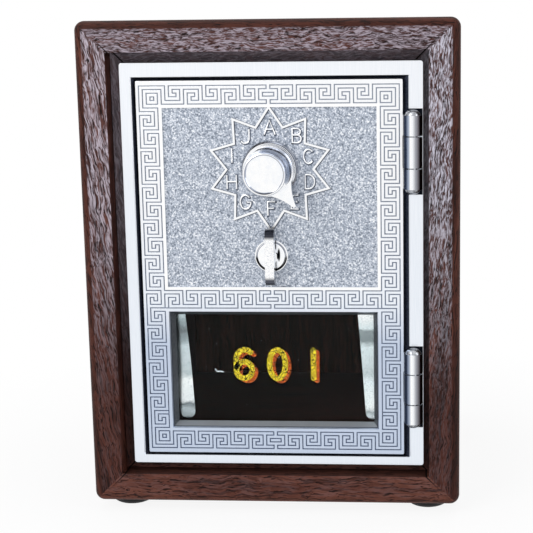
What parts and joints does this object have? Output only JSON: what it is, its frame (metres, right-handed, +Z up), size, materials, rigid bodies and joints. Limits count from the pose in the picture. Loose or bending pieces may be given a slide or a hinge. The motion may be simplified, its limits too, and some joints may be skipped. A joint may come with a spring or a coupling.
{
  "type": "letter box door with dial lock in a wooden case",
  "caption": "Die-cast letter-box door with a dial lock, a thumb turn and a glazed window, hinged in a frame that is set in a mitred walnut case on rubber feet.",
  "frame": {"origin": "on the surface the feet stand on, midway across the whole object and front to back", "axes": "+X to the right seen from the front, +Y from the door to the back panel, +Z up"},
  "size_m": [0.1158, 0.1244, 0.1538],
  "materials": {
    "walnut": "dark walnut, satin varnish",
    "walnut_panel": "dark walnut board, satin varnish",
    "black_rubber": "moulded, matt",
    "cast_white_metal": "die cast, brushed on the raised parts",
    "polished_metal": "turned and polished",
    "steel": "zinc plated",
    "spring_steel": "bright rolled strip",
    "brass_part": "stamped, satin",
    "brass_screw": "countersunk, satin",
    "window_glass": "clear"
  },
  "bodies": {
    "case": {"case_top": "walnut", "case_bottom": "walnut", "case_left": "walnut", "case_right": "walnut", "back_panel": "walnut_panel", "back_screws": "brass_screw", "foot_front_left": "black_rubber", "foot_front_right": "black_rubber", "foot_rear_left": "black_rubber", "foot_rear_right": "black_rubber", "door_frame": "cast_white_metal", "frame_screws": "steel"},
    "door": {"door_casting": "cast_white_metal", "hinge_pin_upper": "steel", "hinge_pin_lower": "steel", "window_glass": "window_glass", "glass_clip_left": "spring_steel", "glass_clip_right": "spring_steel", "clip_screws": "steel", "dial_bush": "cast_white_metal", "dial_bush_nut": "brass_part", "thumb_bush": "cast_white_metal", "thumb_bush_nut": "brass_part", "lock_plate": "steel", "lock_pillars": "brass_part", "lock_back_plate": "steel", "lock_screws": "steel", "bolt_keeper": "steel", "keeper_screws": "steel", "bolt_spring": "spring_steel"},
    "dial": {"dial_knob": "polished_metal", "dial_spindle": "steel", "knob_washer": "brass_part", "dial_spindle_clip": "spring_steel", "drive_wheel": "brass_part", "wheel_spacers": "brass_part"},
    "middle_tumbler": {"middle_wheel": "brass_part"},
    "rear_tumbler": {"rear_wheel": "brass_part"},
    "thumb": {"thumb_turn": "polished_metal", "thumb_spindle": "steel", "thumb_spindle_clip": "spring_steel", "bolt_cam": "brass_part", "crank_pin": "steel", "cam_collar": "brass_part"},
    "bolt": {"latch_bolt": "brass_part"}
  },
  "joints": [
    {"name": "door_swing", "type": "hinge", "parent": "case", "child": "door", "pos_m": [0.0436, -0.0494, 0.0782], "axis": [0, 0, 1], "range_deg": [0, 150]},
    {"name": "dial_turn", "type": "hinge", "parent": "door", "child": "dial", "pos_m": [0.00015, -0.0482, 0.10878], "axis": [0, -1, 0], "continuous": true},
    {"name": "middle_tumbler_turn", "type": "hinge", "parent": "door", "child": "middle_tumbler", "pos_m": [0.00015, -0.0482, 0.10878], "axis": [0, -1, 0], "continuous": true},
    {"name": "rear_tumbler_turn", "type": "hinge", "parent": "door", "child": "rear_tumbler", "pos_m": [0.00015, -0.0482, 0.10878], "axis": [0, -1, 0], "continuous": true},
    {"name": "thumb_twist", "type": "hinge", "parent": "door", "child": "thumb", "pos_m": [0.00015, -0.0482, 0.08217], "axis": [0, -1, 0], "range_deg": [0, 50]},
    {"name": "bolt_slide", "type": "slide", "parent": "door", "child": "bolt", "axis": [-1, 0, 0], "range_m": [0, 0.00507]}
  ],
  "couplings": [
    {"joint": "middle_tumbler_turn", "follows": "dial_turn", "ratio": 1},
    {"joint": "rear_tumbler_turn", "follows": "dial_turn", "ratio": 1},
    {"joint": "thumb_twist", "follows": "bolt_slide", "rad_per_m": 172.07}
  ]
}
